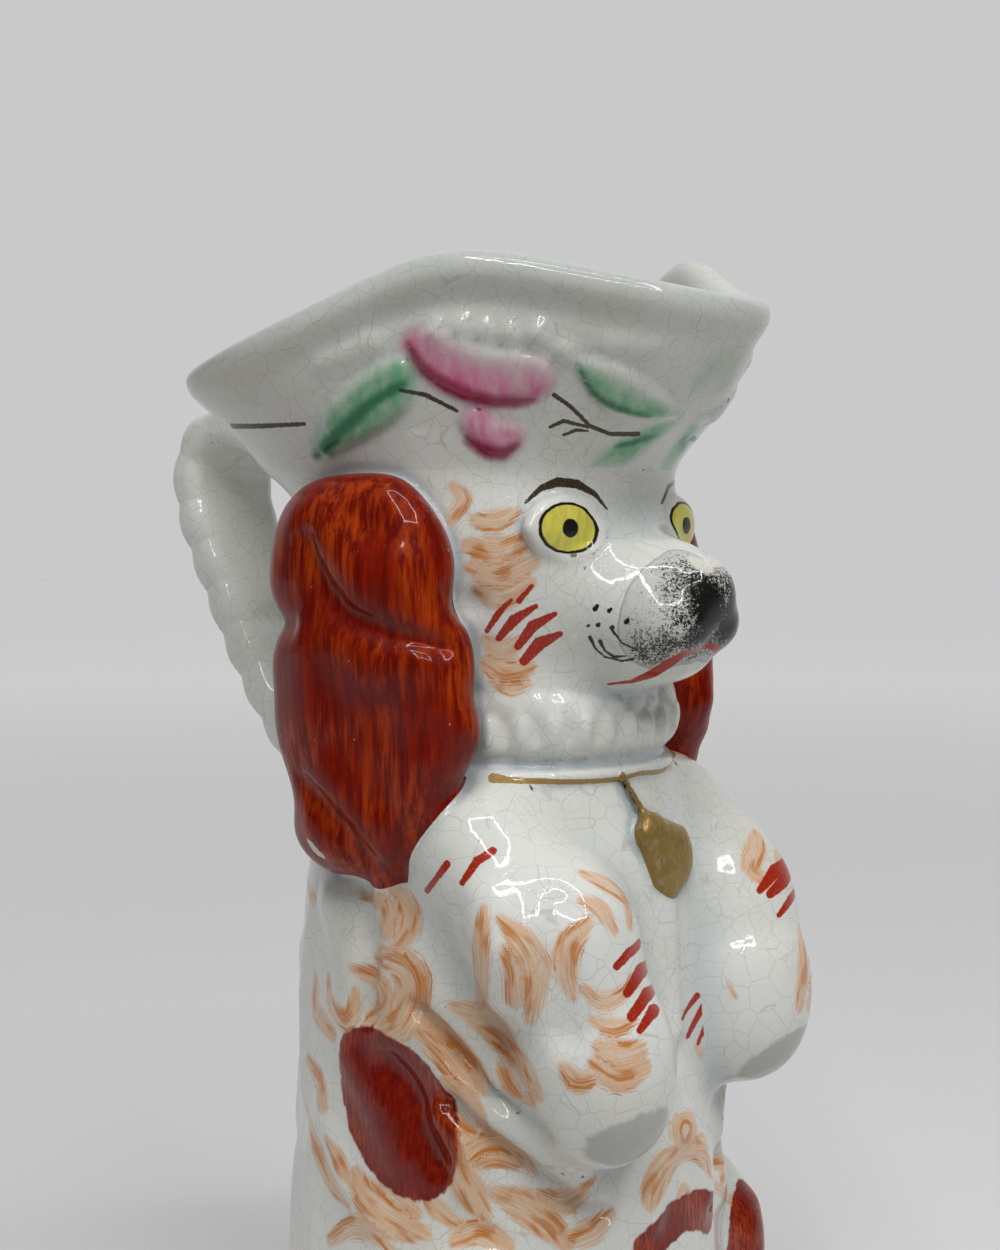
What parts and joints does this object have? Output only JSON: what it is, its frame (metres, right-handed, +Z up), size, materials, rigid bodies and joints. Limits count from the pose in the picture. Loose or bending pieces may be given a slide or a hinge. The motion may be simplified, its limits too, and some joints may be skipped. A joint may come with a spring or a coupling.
{
  "type": "figural pitcher",
  "caption": "Begging spaniel pitcher in glazed earthenware with a tricorn hat as its open spout, a strap handle behind and raised forelegs.",
  "frame": {"origin": "middle of the jug's foot on the surface it stands on", "axes": "+Z up, -Y the way the dog faces and the jug pours, +X the dog's own left"},
  "size_m": [0.1144, 0.1609, 0.2623],
  "materials": {
    "white_glaze": "gloss",
    "russet_enamel": "gloss",
    "gilding": "gloss",
    "black_enamel": "gloss",
    "yellow_enamel": "gloss",
    "pink_enamel": "gloss",
    "green_enamel": "gloss"
  },
  "bodies": {
    "root": {"base_slab": "white_glaze", "right_body_shell": "white_glaze", "left_body_shell": "white_glaze", "hat": "white_glaze", "muzzle": "white_glaze", "lower_jaw": "white_glaze", "nose_pad": "black_enamel", "right_eye": "yellow_enamel", "left_eye": "yellow_enamel", "right_ear": "russet_enamel", "left_ear": "russet_enamel", "neck_ruff": "white_glaze", "collar_strap": "gilding", "locket_link": "gilding", "locket": "gilding", "right_foreleg": "white_glaze", "left_foreleg": "white_glaze", "right_haunch": "white_glaze", "left_haunch": "white_glaze", "right_hind_foot": "white_glaze", "left_hind_foot": "white_glaze", "handle": "white_glaze", "right_hat_bloom": "pink_enamel", "left_hat_bloom": "pink_enamel", "right_hat_petal": "pink_enamel", "left_hat_petal": "pink_enamel", "right_hat_rear_leaf": "green_enamel", "left_hat_rear_leaf": "green_enamel", "right_hat_front_leaf": "green_enamel", "left_hat_front_leaf": "green_enamel"}
  },
  "joints": []
}
